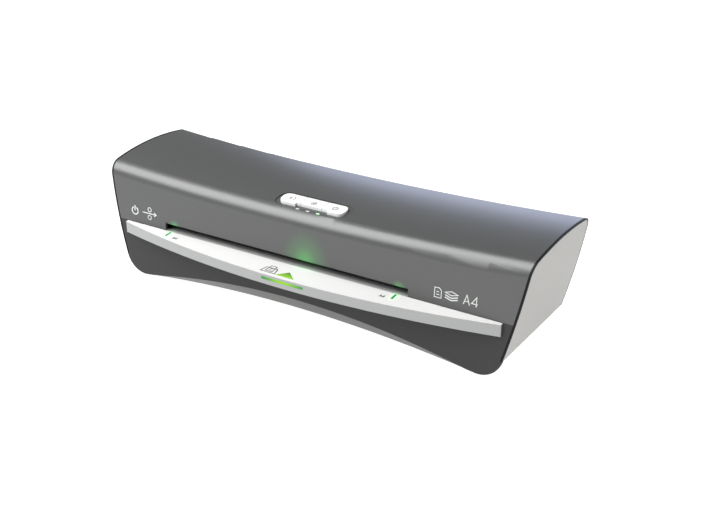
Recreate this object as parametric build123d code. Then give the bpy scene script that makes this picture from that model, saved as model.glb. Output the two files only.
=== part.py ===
from build123d import *
import math
import os

# A desk-top pouch laminator for A4 pouches: a waisted, dome-topped housing with two light end
# panels, a bowed entry tray in front, and inside it a roller frame, heater plates, a gear train
# and a motor. Millimetres. X runs along the rollers, Y from the entry (front) to the exit (rear),
# Z is up. The origin is the centre of the footprint, on the table.

# --- overall sizes ---------------------------------------------------------------------------
BODY_WIDTH = 402.0  # across the two ends, at their top
BODY_DEPTH = 111.5  # foot of the front face to the rear face
BODY_TOP = 103.5  # highest line of the dome, at the two ends
TRAY_REACH = 20.0  # how far the entry tray stands out in front of the body

REAR_Y = (BODY_DEPTH + TRAY_REACH) / 2
FRONT_Y = REAR_Y - BODY_DEPTH
TRAY_FRONT_Y = -REAR_Y
HALF_WIDTH = BODY_WIDTH / 2

# --- side profile of the housing -------------------------------------------------------------
FRONT_LEAN = 7.0  # the front face's top stands this far behind its foot
FRONT_BULGE = 1.4
DOME_RADIUS = 265.0
DOME_APEX_FROM_REAR = 47.0
FRONT_EDGE_RADIUS = 13.0
REAR_EDGE_RADIUS = 10.0
TOP_SAG = 6.0  # the waist: the top is this much lower at mid-length than at the ends
PROFILE_FOOT_Z = -14.0  # the profile runs on below the table, and the outline trims it

# --- front outline of the housing ------------------------------------------------------------
BASE_HALF = HALF_WIDTH - 23.0  # half width where the ends would meet the base, before rounding
BASE_CORNER_Z = 0.3
BASE_ARCH = 12.7  # rise of the base at mid-length above those corners
BASE_CORNER_RADIUS = 20.0
END_BULGE = 2.1
SKIRT_TOP_Z = 19.7  # lower edge of the dark fascia at mid-length
SKIRT_RADIUS = 740.0
END_CHAMFER = 36.0  # degrees; the base is cut away under the end panels
END_PANEL_FOOT_Z = 18.0

# --- walls and joint lines -------------------------------------------------------------------
WALL = 2.4
FASCIA_THICKNESS = 2.6
STRIP_SET_BACK = 0.4
PANEL_THICKNESS = 1.8
GASKET_WIDTH = 1.4  # the gasket lies on the shell's end and its rim shows all round
SEAM = 0.1  # half of a visible joint line
PART_Z = 49.5  # where the upper and lower casings meet

# --- pouch path ------------------------------------------------------------------------------
SLOT_CENTRE_X = -18.6
SLOT_LENGTH = 239.5
SLOT_HEIGHT = 5.0
LIP_ROLL = 3.0  # radius of the cover's edge, rolled in above the slot
PATH_Z = PART_Z + 2.0  # plane of the pouch between the rollers

# --- entry tray ------------------------------------------------------------------------------
TRAY_RADIUS = 830.0
TRAY_HALF = HALF_WIDTH - 20.0
TRAY_FOOT_Z = 39.0
TRAY_SLOPE = 4.0
TRAY_WALL = 2.2
TRIM_THICKNESS = 1.0
TRIM_COVER = 0.4  # skin of the tray's top that runs over the trim
GUIDE_LIGHT_X = (-131.6, 91.7)

# --- controls --------------------------------------------------------------------------------
STRIP_X = 0.5
STRIP_Y = -20.0
STRIP_LENGTH = 61.0
STRIP_WIDTH = 13.0
KEY_GAP = 0.5
NOTCH_X = (-13.5, 17.0)  # the strip's front edge steps back here, behind the indicators
NOTCH_DEPTH = 2.0
KEY_RISE = 1.5
KEY_TRAVEL = 0.8
BOARD_Z = 82.0
LENS_Y = -28.8
LENS_SIZE = (3.2, 1.0)
LENS_X = (-9.5, 0.2, 10.0)

# --- rollers, gears and frame ----------------------------------------------------------------
ROLLER_DIAMETER = 25.0
NIP_GAP = 0.1
SHAFT_DIAMETER = 8.0
CORE_DIAMETER = 16.0
RUNNING_GAP = 0.05
FRONT_ROLLER_Y = -9.0
REAR_ROLLER_Y = 33.0
SLEEVE_MARGIN = 0.4  # the sleeves are this much shorter at each end than the slot
FRAME_MARGIN = 7.5  # from the slot's end to the side frame's inner face
PLATE = 2.0
FLOAT_TRAVEL = 1.0

MODULE = 1.25
ADDENDUM = 1.0
DEDENDUM = 1.4
FLANK_THINNING = 0.12
PRESSURE_ANGLE = math.radians(20)
ROLLER_TEETH = 20
SMALL_TEETH = 16
GEAR_WIDTH = 8.0
GEAR_STAND_OFF = 4.0  # frame's outer face to the gears
PIN_DIAMETER = 6.0
MOTOR_DIRECTION = -140.0  # degrees, from the front lower gear to the pinion

BIG = 600.0

SLOT_X0 = SLOT_CENTRE_X - SLOT_LENGTH / 2
SLOT_X1 = SLOT_CENTRE_X + SLOT_LENGTH / 2
LEFT_FRAME_X = SLOT_X0 - FRAME_MARGIN  # inner face of the left frame
RIGHT_FRAME_X = SLOT_X1 + FRAME_MARGIN  # inner face of the right frame
LOWER_Z = PATH_Z - ROLLER_DIAMETER / 2
UPPER_Z = PATH_Z + ROLLER_DIAMETER / 2
GEAR_X0 = RIGHT_FRAME_X + PLATE + GEAR_STAND_OFF
GEAR_X1 = GEAR_X0 + GEAR_WIDTH
MOTOR_PLATE_X = GEAR_X1 + 4.0

IDLER_REACH = MODULE * (ROLLER_TEETH + SMALL_TEETH) / 2
IDLER_Y = (FRONT_ROLLER_Y + REAR_ROLLER_Y) / 2
IDLER_Z = LOWER_Z - math.sqrt(IDLER_REACH**2 - (IDLER_Y - FRONT_ROLLER_Y) ** 2)
PINION_Y = FRONT_ROLLER_Y + IDLER_REACH * math.cos(math.radians(MOTOR_DIRECTION))
PINION_Z = LOWER_Z + IDLER_REACH * math.sin(math.radians(MOTOR_DIRECTION))


# --- helpers ---------------------------------------------------------------------------------
def block(x0, x1, y0, y1, z0, z1):
    """A box given by its two corners."""
    return Pos((x0 + x1) / 2, (y0 + y1) / 2, (z0 + z1) / 2) * Box(x1 - x0, y1 - y0, z1 - z0)


def along_x(diameter, x0, x1, y, z):
    """A round bar running along X."""
    return Pos((x0 + x1) / 2, y, z) * Rot(0, 90, 0) * Cylinder(diameter / 2, x1 - x0)


def upright(diameter, x, y, z0, z1):
    """A round bar standing along Z."""
    return Pos(x, y, (z0 + z1) / 2) * Cylinder(diameter / 2, z1 - z0)


def along_y(sketch, y0=-BIG / 2, y1=BIG / 2):
    """A sketch of the front view, pushed through from y0 to y1."""
    return Pos(0, y1, 0) * extrude(Plane.XZ * sketch, y1 - y0)


def side_plate(points, x0, x1):
    """A flat outline given in (y, z), as a slab from x0 to x1."""
    return Pos(x0, 0, 0) * extrude(Plane.YZ * make_face(Polyline(*points, close=True)), x1 - x0)


def shift_y(part, distance):
    """The part moved along Y."""
    return Pos(0, distance, 0) * part


# --- outer form ------------------------------------------------------------------------------
SAG_RADIUS = (HALF_WIDTH**2 + TOP_SAG**2) / (2 * TOP_SAG)
SAG_AXIS = Axis((0, 0, BODY_TOP - TOP_SAG + SAG_RADIUS), (0, 1, 0))
SWEEP_ANGLE = 2 * math.degrees(math.asin((HALF_WIDTH + 25) / (SAG_RADIUS - BODY_TOP)))


def dome_z(y):
    """Height of the dome's arc at a distance y, at the ends of the body."""
    from_apex = y - (REAR_Y - DOME_APEX_FROM_REAR)
    return BODY_TOP - DOME_RADIUS + math.sqrt(DOME_RADIUS**2 - from_apex**2)


def top_z(x, y):
    """Height of the top's outer face, waist included."""
    return dome_z(y) - TOP_SAG + SAG_RADIUS - math.sqrt(SAG_RADIUS**2 - x**2)


def front_face_y(z):
    """Where the front face stands at a height z, at the ends of the body."""
    return FRONT_Y + FRONT_LEAN * (z + 8) / (BODY_TOP + 4) - FRONT_BULGE


def side_profile(inset):
    """The closed side profile at mid-length, moved inwards by inset."""
    front_top_y = FRONT_Y + FRONT_LEAN
    rear_top = (REAR_Y, dome_z(REAR_Y) - TOP_SAG)
    front_top = (front_top_y, dome_z(front_top_y) - TOP_SAG)
    apex = (REAR_Y - DOME_APEX_FROM_REAR, BODY_TOP - TOP_SAG)
    front_foot = (FRONT_Y, PROFILE_FOOT_Z)
    front_middle = (
        (front_top[0] + FRONT_Y) / 2 - FRONT_BULGE,
        (front_top[1] + PROFILE_FOOT_Z) / 2,
    )
    lines = Wire(
        [
            ThreePointArc(rear_top, apex, front_top).edge(),
            ThreePointArc(front_top, front_middle, front_foot).edge(),
            Line(front_foot, (REAR_Y, PROFILE_FOOT_Z)).edge(),
            Line((REAR_Y, PROFILE_FOOT_Z), rear_top).edge(),
        ]
    )
    face = Sketch() + make_face(lines)
    front_corner = face.vertices().sort_by_distance((*front_top, 0))[0]
    face = fillet(front_corner, FRONT_EDGE_RADIUS)
    rear_corner = face.vertices().sort_by_distance((*rear_top, 0))[0]
    face = fillet(rear_corner, REAR_EDGE_RADIUS)
    if inset:
        face = offset(face, -inset)
    return Plane.YZ * face


def swept(inset):
    """The side profile carried along the waist's large arc, over the whole length."""
    body = revolve(side_profile(inset), axis=SAG_AXIS, revolution_arc=SWEEP_ANGLE)
    return body.rotate(SAG_AXIS, -SWEEP_ANGLE / 2)


ARCH_RADIUS = (BASE_HALF**2 + BASE_ARCH**2) / (2 * BASE_ARCH)
END_CHORD = math.hypot(HALF_WIDTH - BASE_HALF, BODY_TOP - BASE_CORNER_Z)
END_RADIUS = (END_CHORD**2 / 4 + END_BULGE**2) / (2 * END_BULGE)
END_LEAN = math.atan2(HALF_WIDTH - BASE_HALF, BODY_TOP - BASE_CORNER_Z)


def end_centre():
    """Centre of the right end's arc, as (x, z)."""
    reach = END_RADIUS - END_BULGE
    x = (BASE_HALF + HALF_WIDTH) / 2 - reach * math.cos(END_LEAN)
    z = (BASE_CORNER_Z + BODY_TOP) / 2 + reach * math.sin(END_LEAN)
    return x, z


def end_x(z):
    """Half width of the housing at a height z."""
    x, centre_z = end_centre()
    return x + math.sqrt(END_RADIUS**2 - (z - centre_z) ** 2)


def front_outline(inset=0.0):
    """The outline of the housing seen from the front, open upwards past the dome."""
    x, z = end_centre()
    face = Rectangle(2 * HALF_WIDTH + 40, 2 * BODY_TOP + 60)
    face = face & Pos(x, z) * Circle(END_RADIUS - inset)
    face = face & Pos(-x, z) * Circle(END_RADIUS - inset)
    face = face - Pos(0, BASE_CORNER_Z + BASE_ARCH - ARCH_RADIUS) * Circle(ARCH_RADIUS + inset)
    for side in (-1, 1):
        found = face.vertices().sort_by_distance((side * BASE_HALF, BASE_CORNER_Z, 0))[0]
        face = fillet(found, BASE_CORNER_RADIUS - inset)
    return face


def base_outline(inset=0.0):
    """The front outline with its lower ends cut away under the end panels."""
    face = front_outline(inset)
    x = end_x(END_PANEL_FOOT_Z)
    for side in (-1, 1):
        slab = Rot(0, 0, side * END_CHAMFER) * Pos(0, inset - 50) * Rectangle(200, 100)
        face = face - Pos(side * x, END_PANEL_FOOT_Z) * slab
    return face


def end_band(inset):
    """Everything between the two ends, moved inwards by inset."""
    x, z = end_centre()
    face = Pos(x, z) * Circle(END_RADIUS - inset)
    return face & Pos(-x, z) * Circle(END_RADIUS - inset)


def above_skirt():
    """Everything above the lower edge of the dark fascia."""
    disc = Pos(0, SKIRT_TOP_Z - SKIRT_RADIUS) * Circle(SKIRT_RADIUS)
    sheet = Pos(0, SKIRT_TOP_Z) * Rectangle(BIG, BIG)
    return sheet - disc


OUTER = swept(0)
INNER = swept(WALL)
ABOVE_PART = block(-BIG, BIG, -BIG, BIG, PART_Z + SEAM, BIG)
BELOW_PART = block(-BIG, BIG, -BIG, BIG, -BIG, PART_Z - SEAM)


def end_pocket():
    """The shallow recess in both ends that takes the gaskets and end panels."""
    slab = along_y(front_outline()) - along_y(front_outline(PANEL_THICKNESS))
    slab = slab & block(-BIG, BIG, -BIG, BIG, END_PANEL_FOOT_Z, BIG)
    return slab & OUTER


END_POCKET = end_pocket()
PANEL_FORM = swept(GASKET_WIDTH)


def one_end(part, side):
    """The half of a part that lies on one side of mid-length."""
    if side < 0:
        return part & block(-BIG, 0, -BIG, BIG, -BIG, BIG)
    return part & block(0, BIG, -BIG, BIG, -BIG, BIG)


def end_panel(side):
    """One light end panel."""
    return one_end(END_POCKET & PANEL_FORM, side)


def end_gasket(side):
    """The black line round one end panel."""
    return one_end(END_POCKET - PANEL_FORM, side)


def bottom_z(x):
    """Underside of the base at a distance x from mid-length."""
    return BASE_CORNER_Z + BASE_ARCH - ARCH_RADIUS + math.sqrt(ARCH_RADIUS**2 - x**2)


# --- positions shared by several pieces ------------------------------------------------------
POST_X = HALF_WIDTH - 36.0
CASING_POSTS = [(x, y) for x in (-POST_X, POST_X) for y in (FRONT_Y + 18, REAR_Y - 15)]
SCREW_SEAT_Z = 38.0
FRAME_FOOT_GAP = 0.4  # least air between the base's floor and the frames' feet
FRAME_FOOT_Z = max(12.0, bottom_z(RIGHT_FRAME_X) + WALL + FRAME_FOOT_GAP)
FRAME_FEET = [
    (x, y)
    for x in (LEFT_FRAME_X + 6, RIGHT_FRAME_X - 6)
    for y in (FRONT_ROLLER_Y - 6, REAR_ROLLER_Y + 9)
]
BOARD_BOSSES = [(STRIP_X + dx, dy) for dx in (-32, 32) for dy in (STRIP_Y - 9, STRIP_Y + 11)]
POWER_BOARD = (GEAR_X1 + 8, GEAR_X1 + 48, 13.0, 45.0, 20.0)
INLET_X = GEAR_X1 + 22
INLET_Z = 34.0
SWITCH_X = GEAR_X1 + 1
SWITCH_Z = 34.0


# --- housing pieces --------------------------------------------------------------------------
def key_strip_plan(extra):
    """Plan of the three-key strip, grown all round."""
    length = STRIP_LENGTH + 2 * extra
    width = STRIP_WIDTH + 2 * extra
    plan = Pos(STRIP_X, STRIP_Y) * RectangleRounded(length, width, 5.0 + extra)
    if extra > 3:
        return plan
    middle = (NOTCH_X[0] + NOTCH_X[1]) / 2
    notch = Rectangle(NOTCH_X[1] - NOTCH_X[0] - 2 * extra, 2 * NOTCH_DEPTH)
    return plan - Pos(middle, STRIP_Y - STRIP_WIDTH / 2 - extra) * notch


def lens_bar(x, z0, z1):
    """A flat light pipe standing in front of the key strip."""
    length, width = LENS_SIZE
    return block(x - length / 2, x + length / 2, LENS_Y - width / 2, LENS_Y + width / 2, z0, z1)


def prism(sketch, z0, z1):
    """A plan sketch standing from z0 to z1."""
    return Pos(0, 0, z0) * extrude(sketch, z1 - z0)


def exit_hole(extra):
    """Plain block that cuts the exit opening through the rear wall."""
    return block(
        SLOT_X0 - extra,
        SLOT_X1 + extra,
        REAR_Y - 8,
        REAR_Y + 8,
        PART_Z - extra,
        PART_Z + SLOT_HEIGHT + extra,
    )


def upper_casing():
    """Top, upper front and upper rear in one thin-walled moulding."""
    hollow = INNER & along_y(front_outline(PANEL_THICKNESS + WALL))
    shell = (OUTER & along_y(front_outline()) & ABOVE_PART) - hollow - END_POCKET
    slot = block(SLOT_X0, SLOT_X1, FRONT_Y - 5, FRONT_Y + 12, PART_Z - 1, PART_Z + SLOT_HEIGHT)
    shell = shell - slot
    roll_y = front_face_y(PART_Z + SLOT_HEIGHT) + LIP_ROLL + 0.4
    roll_z = PART_Z + SLOT_HEIGHT + LIP_ROLL
    roll = along_x(2 * LIP_ROLL, SLOT_X0 - 3, SLOT_X1 + 3, roll_y, roll_z)
    corner = block(SLOT_X0, SLOT_X1, roll_y - 9, roll_y, roll_z - LIP_ROLL - 1, roll_z) - roll
    shell = (shell + (roll & OUTER)) - corner
    shell = shell - exit_hole(3.0)
    skin = swept(1.0)
    for x, y in CASING_POSTS:
        shell = shell + (upright(8, x, y, PART_Z + SEAM, BODY_TOP + 5) & skin)
        shell = shell - upright(3, x, y, PART_Z - 1, PART_Z + 12)
    for x, y in BOARD_BOSSES:
        shell = shell + (upright(6, x, y, BOARD_Z + 1.6, BODY_TOP + 5) & skin)
        shell = shell - upright(2.4, x, y, BOARD_Z, BOARD_Z + 8)
    dish = prism(key_strip_plan(4.5), 80, 120) - swept(0.7)
    shell = shell - dish
    shell = shell - prism(key_strip_plan(0.25), 80, 120)
    for x in LENS_X:
        shell = shell - lens_bar(x, 80, 110)
    vent = block(-1.25, 1.25, REAR_Y - 8, REAR_Y + 8, PART_Z + 16, PART_Z + 30)
    for step in range(-12, 13):
        shell = shell - Pos(SLOT_CENTRE_X + step * 6, 0, 0) * vent
    return shell


def fascia_layer(thickness):
    """The front layer of the body, this thick, across the whole front."""
    layer = OUTER - shift_y(OUTER, thickness)
    return layer & block(-BIG, BIG, -BIG, FRONT_Y + 25, -BIG, BIG)


def guide_notch(extra):
    """Room for the tray's guide through the top edge of the lower front walls."""
    return block(
        SLOT_X0 - extra,
        SLOT_X1 + extra,
        FRONT_Y - 8,
        FRONT_Y + 12,
        PART_Z - 2.5 - extra,
        PART_Z + 2,
    )


def front_fascia():
    """Dark lower front with a high arch between two rounded lobes."""
    plate = fascia_layer(FASCIA_THICKNESS) & along_y(front_outline() & above_skirt())
    plate = plate & BELOW_PART
    return plate - guide_notch(0.0) - END_POCKET


def base_casing():
    """Floor, lower walls and the strip seen under the fascia's arch."""
    behind = shift_y(OUTER, FASCIA_THICKNESS)
    outline = along_y(base_outline())
    body = OUTER & behind & outline
    strip = OUTER & shift_y(OUTER, STRIP_SET_BACK) & outline
    strip = strip & block(-BIG, BIG, -BIG, FRONT_Y + 12, -BIG, BIG)
    body = body + (strip - along_y(Pos(0, -SEAM) * above_skirt()))
    body = body & BELOW_PART
    cavity = INNER & shift_y(INNER, FASCIA_THICKNESS)
    cavity = cavity & along_y(base_outline(WALL))
    cavity = cavity & along_y(end_band(PANEL_THICKNESS + WALL))
    body = body - cavity - END_POCKET - guide_notch(0.0) - exit_hole(3.0)
    inside = along_y(base_outline(0.8))
    for x, y in CASING_POSTS:
        body = body + (upright(9, x, y, 0, PART_Z - SEAM) & inside)
    for x, y in FRAME_FEET:
        body = body + (upright(9, x, y, 0, FRAME_FOOT_Z) & inside)
    x0, x1, y0, y1, z = POWER_BOARD
    for x in (x0 + 4, x1 - 4):
        for y in (y0 + 4, y1 - 4):
            body = body + (upright(6, x, y, 0, z) & inside)
    for x, y in CASING_POSTS:
        body = body - upright(6.4, x, y, -5, SCREW_SEAT_Z)
        body = body - upright(3.2, x, y, 0, PART_Z + 1)
    for x, y in FRAME_FEET:
        body = body - upright(3, x, y, FRAME_FOOT_Z - 4, FRAME_FOOT_Z + 1)
    for x, y in FEET:
        body = body - upright(FOOT_DIAMETER, x, y, -5, bottom_z(x) + 0.9)
    body = body - inlet_body(0.0) - switch_body(0.0)
    vent = block(-1.25, 1.25, REAR_Y - 8, REAR_Y + 8, 24, 38)
    for step in range(-12, 13):
        body = body - Pos(SLOT_CENTRE_X + step * 6 - 12, 0, 0) * vent
    return body


FOOT_DIAMETER = 14.0
FEET = [(x, y) for x in (-128, 128) for y in (FRONT_Y + 22, REAR_Y - 17)]


def rubber_feet():
    """Four round feet let into the base."""
    feet = [upright(FOOT_DIAMETER, x, y, 0, bottom_z(x) + 0.9) for x, y in FEET]
    return Compound([chamfer(f.edges().sort_by(Axis.Z)[0], 0.8) for f in feet])


def casing_screws():
    """Four screws that hold the casings together, driven from beneath."""
    parts = []
    for x, y in CASING_POSTS:
        screw = upright(6, x, y, SCREW_SEAT_Z - 2.4, SCREW_SEAT_Z) + upright(3, x, y, SCREW_SEAT_Z, PART_Z + 10)
        cross = block(x - 1.8, x + 1.8, y - 0.4, y + 0.4, SCREW_SEAT_Z - 3, SCREW_SEAT_Z - 1.4)
        other = block(x - 0.4, x + 0.4, y - 1.8, y + 1.8, SCREW_SEAT_Z - 3, SCREW_SEAT_Z - 1.4)
        parts.append(screw - cross - other)
    return Compound(parts)


def exit_slot_frame():
    """Black frame set in the rear wall round the exit opening."""
    frame = exit_hole(3.0) & OUTER & block(-BIG, BIG, REAR_Y - WALL - 2, REAR_Y - 0.1, 0, BIG)
    frame = frame - exit_hole(0.0)
    return chamfer(frame.edges().filter_by(Axis.X).sort_by(Axis.Y)[-2:], 0.6)


# --- entry tray ------------------------------------------------------------------------------
def tray_plan(inset):
    """Bowed plan of the tray, its front edge moved inwards by inset."""
    bow = Pos(0, TRAY_FRONT_Y + TRAY_RADIUS) * Circle(TRAY_RADIUS - inset)
    band = Pos(0, FRONT_Y + 5) * Rectangle(2 * (TRAY_HALF - inset), 2 * (REAR_Y + FRONT_Y + 8))
    return bow & band


def tray_top(lower=0.0):
    """Everything under the gently sloping top of the tray."""
    edge = front_face_y(PART_Z)
    fall = math.tan(math.radians(TRAY_SLOPE))
    front_z = PART_Z - 0.2 - lower - 30 * fall
    rear_z = PART_Z - 0.2 - lower
    points = [(edge - 30, 0), (edge - 30, front_z), (edge, rear_z), (edge + 30, rear_z), (edge + 30, 0)]
    return side_plate(points, -BIG / 2, BIG / 2)


def lip_band():
    """The band that the trim fills, from under the tray's top skin to the lip's foot."""
    ring = prism(tray_plan(0) - tray_plan(TRIM_THICKNESS), TRAY_FOOT_Z, PART_Z) & tray_top(TRIM_COVER)
    return (ring - OUTER) & block(-BIG, BIG, -BIG, FRONT_Y + 4, -BIG, BIG)


def light_bar_cut():
    """Window for the feed light in the lip."""
    return block(-20.7, 19.7, TRAY_FRONT_Y - 5, TRAY_FRONT_Y + 8, 42.9, 45.3)


def arrow_plan():
    """The feed arrow, pointing into the slot."""
    return make_face(Polyline((-9.4, -62.6), (9.1, -62.6), (-0.2, -54.2), close=True))


def guide_light_cut(x):
    """Groove for one width-guide light."""
    return block(x - 1, x + 1, front_face_y(PART_Z) - 8, front_face_y(PART_Z) - 0.6, PART_Z - 1.7, PART_Z + 2)


def tray_body():
    """The bowed tray before its trim and lights are let in."""
    solid = prism(tray_plan(0), TRAY_FOOT_Z, PART_Z + 2) & tray_top()
    hollow = prism(tray_plan(TRAY_WALL + TRIM_THICKNESS), TRAY_FOOT_Z - 1, PART_Z)
    hollow = hollow & tray_top(TRAY_WALL)
    return solid - hollow - OUTER


def entry_tray():
    """White tray with the guide that carries the pouch in to the rollers."""
    tray = tray_body() & block(-BIG, BIG, -BIG, FRONT_Y + 4, -BIG, BIG)
    edge = front_face_y(PART_Z)
    points = [
        (edge - 1.5, PART_Z - 2.4),
        (edge - 1.5, PART_Z - 0.3),
        (edge + 8, PART_Z - 0.2),
        (FRONT_ROLLER_Y - 11, PART_Z + 0.6),
        (FRONT_ROLLER_Y - 11, PART_Z - 1.0),
        (edge + 8, PART_Z - 2.4),
    ]
    tray = tray + side_plate(points, SLOT_X0 + 0.2, SLOT_X1 - 0.2)
    tray = tray - lip_band()
    tray = tray - light_bar_cut()
    tray = tray - prism(arrow_plan(), PART_Z - 2.4, PART_Z + 2)
    for x in GUIDE_LIGHT_X:
        tray = tray - guide_light_cut(x)
    return tray


def tray_lip_trim():
    """Silver strip along the lip."""
    return lip_band() - light_bar_cut()


def feed_light_bar():
    """Clear green bar in the lip."""
    return light_bar_cut() & prism(tray_plan(0) - tray_plan(TRAY_WALL + TRIM_THICKNESS), 40, 50)


def feed_arrow_window():
    """Clear green arrow in the tray's top."""
    return prism(arrow_plan(), PART_Z - 2.4, PART_Z + 2) & tray_top()


def guide_light(x):
    """One width-guide light."""
    return guide_light_cut(x) & tray_top(0.0)


# --- controls --------------------------------------------------------------------------------
def key(index):
    """One key: 0 reverse, 1 heat, 2 power, from left to right."""
    third = STRIP_LENGTH / 3
    x0 = STRIP_X - STRIP_LENGTH / 2 + index * third
    x1 = x0 + third
    left = x0 - 5 if index == 0 else x0 + KEY_GAP / 2
    right = x1 + 5 if index == 2 else x1 - KEY_GAP / 2
    cap = prism(key_strip_plan(0), 86, 110) & swept(-KEY_RISE)
    cap = cap - swept(WALL + 0.6)
    cap = cap & block(left, right, -BIG, BIG, 0, BIG)
    rim = prism(key_strip_plan(1.2), 86, 110) & swept(WALL + 0.25)
    rim = rim - swept(WALL + 1.45)
    rim = rim & block(max(left, x0 + 1.2), min(right, x1 - 1.2), -BIG, BIG, 0, BIG)
    middle = (x0 + x1) / 2
    stem = upright(3.0, middle, STRIP_Y, BOARD_Z + 4.1, top_z(middle, STRIP_Y) - 0.5)
    top = (cap + stem) + rim
    return top


def tact_switches():
    """Three key switches, each with a well for its key's stem."""
    third = STRIP_LENGTH / 3
    parts = []
    for index in range(3):
        x = STRIP_X + (index - 1) * third
        body = block(x - 3, x + 3, STRIP_Y - 3, STRIP_Y + 3, BOARD_Z + 1.6, BOARD_Z + 5.0)
        parts.append(body - upright(3.6, x, STRIP_Y, BOARD_Z + 3.0, BOARD_Z + 6))
    return Compound(parts)


def button_board():
    """Board under the key strip."""
    board = block(STRIP_X - 37, STRIP_X + 37, STRIP_Y - 14, STRIP_Y + 16, BOARD_Z, BOARD_Z + 1.6)
    for x, y in BOARD_BOSSES:
        board = board - upright(2.4, x, y, BOARD_Z - 1, BOARD_Z + 3)
    return board


def board_screws():
    """Four small screws under the key board."""
    parts = []
    for x, y in BOARD_BOSSES:
        parts.append(upright(4.4, x, y, BOARD_Z - 1.6, BOARD_Z) + upright(2.4, x, y, BOARD_Z, BOARD_Z + 7))
    return Compound(parts)


def indicator_lens():
    """Three light pipes standing on the board and ending flush in the top."""
    return Compound([lens_bar(x, BOARD_Z + 1.6, 110) & swept(0.65) for x in LENS_X])


# --- rollers and gears -----------------------------------------------------------------------
def gear(teeth, phase, y, z, bore):
    """A straight involute gear along X, with one tooth centred at the angle phase."""
    pitch = MODULE * teeth / 2
    base = pitch * math.cos(PRESSURE_ANGLE)
    tip = pitch + ADDENDUM
    root = pitch - DEDENDUM
    half = math.pi / (2 * teeth) - FLANK_THINNING / pitch
    spread = half + math.tan(PRESSURE_ANGLE) - PRESSURE_ANGLE

    def flank_angle(radius):
        roll = math.sqrt(max((radius / base) ** 2 - 1, 0))
        return spread - (roll - math.atan(roll))

    def at(radius, angle):
        return (radius * math.cos(angle), radius * math.sin(angle))

    radii = [base + (tip - base) * share for share in (0, 0.15, 0.4, 0.7, 1)]
    step = 2 * math.pi / teeth
    edges = []
    for index in range(teeth):
        middle = phase + index * step
        foot = flank_angle(base)
        rise = [at(r, middle - flank_angle(r)) for r in radii]
        fall = [at(r, middle + flank_angle(r)) for r in reversed(radii)]
        edges.append(Line(at(root, middle - foot), rise[0]).edge())
        edges.append(Spline(*rise).edge())
        edges.append(ThreePointArc(rise[-1], at(tip, middle), fall[0]).edge())
        edges.append(Spline(*fall).edge())
        edges.append(Line(fall[-1], at(root, middle + foot)).edge())
        gap = ThreePointArc(
            at(root, middle + foot),
            at(root, middle + step / 2),
            at(root, middle + step - foot),
        )
        edges.append(gap.edge())
    face = Plane.YZ * make_face(Wire(edges))
    body = Pos(GEAR_X0, y, z) * extrude(face, GEAR_WIDTH)
    body = body + along_x(13, RIGHT_FRAME_X + PLATE + 1.2, GEAR_X0 + 1, y, z)
    return body - along_x(bore, RIGHT_FRAME_X, GEAR_X1 + 1, y, z)


def meshed(phase, teeth, direction, other_teeth):
    """Phase of a gear that meshes with one of the given phase, standing in that direction."""
    turn = (direction - phase) * teeth / other_teeth
    return direction + math.pi + turn + math.pi / other_teeth


TO_IDLER = math.atan2(IDLER_Z - LOWER_Z, IDLER_Y - FRONT_ROLLER_Y)
FROM_IDLER = math.atan2(LOWER_Z - IDLER_Z, REAR_ROLLER_Y - IDLER_Y)
PHASE_FRONT_LOWER = 0.0
PHASE_FRONT_UPPER = meshed(PHASE_FRONT_LOWER, ROLLER_TEETH, math.pi / 2, ROLLER_TEETH)
PHASE_IDLER = meshed(PHASE_FRONT_LOWER, ROLLER_TEETH, TO_IDLER, SMALL_TEETH)
PHASE_REAR_LOWER = meshed(PHASE_IDLER, SMALL_TEETH, FROM_IDLER, ROLLER_TEETH)
PHASE_REAR_UPPER = meshed(PHASE_REAR_LOWER, ROLLER_TEETH, math.pi / 2, ROLLER_TEETH)
PHASE_PINION = meshed(PHASE_FRONT_LOWER, ROLLER_TEETH, math.radians(MOTOR_DIRECTION), SMALL_TEETH)


def shaft(y, z):
    """Steel roller shaft: thick core under the sleeve, thin journals at both ends."""
    core = along_x(CORE_DIAMETER, SLOT_X0 + SLEEVE_MARGIN, SLOT_X1 - SLEEVE_MARGIN, y, z)
    bar = along_x(SHAFT_DIAMETER, LEFT_FRAME_X - PLATE - 4, GEAR_X1 + 1.5, y, z)
    collar = along_x(11, LEFT_FRAME_X + 4.3, RIGHT_FRAME_X - 4.3, y, z)
    bar = bar + core + collar
    return chamfer(bar.edges().sort_by(Axis.X)[-1], 0.5)


def sleeve(y, z):
    """Silicone rubber sleeve."""
    x0 = SLOT_X0 + SLEEVE_MARGIN
    x1 = SLOT_X1 - SLEEVE_MARGIN
    tube = along_x(ROLLER_DIAMETER - NIP_GAP, x0, x1, y, z)
    return tube - along_x(CORE_DIAMETER, x0 - 1, x1 + 1, y, z)


def lower_roller_bushes():
    """Four flanged bushes pressed in the side frames."""
    parts = []
    for y in (FRONT_ROLLER_Y, REAR_ROLLER_Y):
        for inner, outward in ((LEFT_FRAME_X, -1), (RIGHT_FRAME_X, 1)):
            x0, x1 = sorted((inner, inner + outward * (PLATE + 1)))
            ring = along_x(12, x0, x1, y, LOWER_Z)
            f0, f1 = sorted((inner, inner - outward * 2))
            ring = ring + along_x(16, f0, f1, y, LOWER_Z)
            bore = SHAFT_DIAMETER + 2 * RUNNING_GAP
            parts.append(ring - along_x(bore, inner - 20, inner + 20, y, LOWER_Z))
    return Compound(parts)


BUSH_HALF = 7.0  # half width of an upper bush's window
BUSH_RISE = 8.0


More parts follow.
